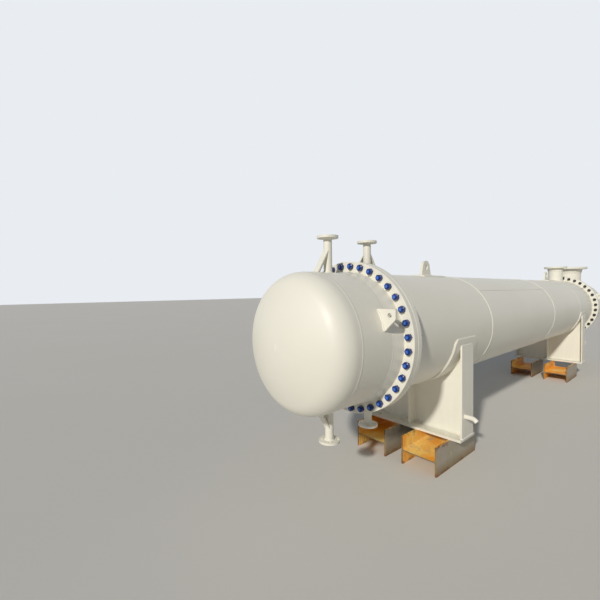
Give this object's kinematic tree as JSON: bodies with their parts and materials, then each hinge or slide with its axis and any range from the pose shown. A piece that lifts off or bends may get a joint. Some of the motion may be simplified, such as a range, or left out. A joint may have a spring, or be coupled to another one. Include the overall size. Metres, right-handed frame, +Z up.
{
  "type": "shell and tube heat exchanger",
  "caption": "Long horizontal shell and tube heat exchanger with bolted dished bonnets, flanged nozzles, vents, drains, lifting lugs and saddles resting on H beams.",
  "frame": {"origin": "centre of the footprint at the underside of the beams", "axes": "+X along the vessel from the short bonnet towards the bonnet with the large nozzles, +Z up"},
  "size_m": [7.8978, 1.1776, 1.883],
  "materials": {
    "cream_paint": "glossy cream top coat over steel plate",
    "painted_weld": "cream top coat over rippled weld beads",
    "coated_studs": "blue fluoropolymer coating on studs and nuts",
    "dark_studs": "dark coating on studs and nuts",
    "gasket": "graphite faced gasket",
    "beam_primer": "ochre primer with rust and dust on rolled steel",
    "bare_steel": "drawn tube and mill plate"
  },
  "bodies": {
    "root": {"near_head": "cream_paint", "near_bonnet_barrel": "cream_paint", "near_bonnet_flange": "cream_paint", "near_gasket": "gasket", "near_tubesheet": "cream_paint", "near_studs": "coated_studs", "near_side_lugs": "cream_paint", "shell_barrel": "cream_paint", "girth_welds": "painted_weld", "lengthwise_welds": "painted_weld", "far_tubesheet": "cream_paint", "far_gasket": "gasket", "far_bonnet_flange": "cream_paint", "far_studs": "dark_studs", "far_bonnet_barrel": "cream_paint", "far_head": "cream_paint", "far_side_lugs": "cream_paint", "far_pass_plate": "bare_steel", "bonnet_vent": "cream_paint", "bonnet_drain": "cream_paint", "shell_vent": "cream_paint", "shell_drain": "cream_paint", "nozzle_braces": "cream_paint", "shell_top_nozzle": "cream_paint", "shell_bottom_nozzle": "cream_paint", "bonnet_top_nozzle": "cream_paint", "bonnet_bottom_nozzle": "cream_paint", "lifting_lugs": "cream_paint", "lifting_lug_pads": "cream_paint", "front_wear_plate": "cream_paint", "front_saddle_web": "cream_paint", "front_saddle_ribs": "cream_paint", "front_base_plate": "cream_paint", "rear_wear_plate": "cream_paint", "rear_saddle_web": "cream_paint", "rear_saddle_ribs": "cream_paint", "rear_base_plate": "cream_paint", "earthing_bosses": "cream_paint", "front_beams": "beam_primer", "rear_beams": "beam_primer", "tube_bundle": "bare_steel", "cross_baffles": "bare_steel", "lengthwise_baffle": "bare_steel"}
  },
  "joints": []
}
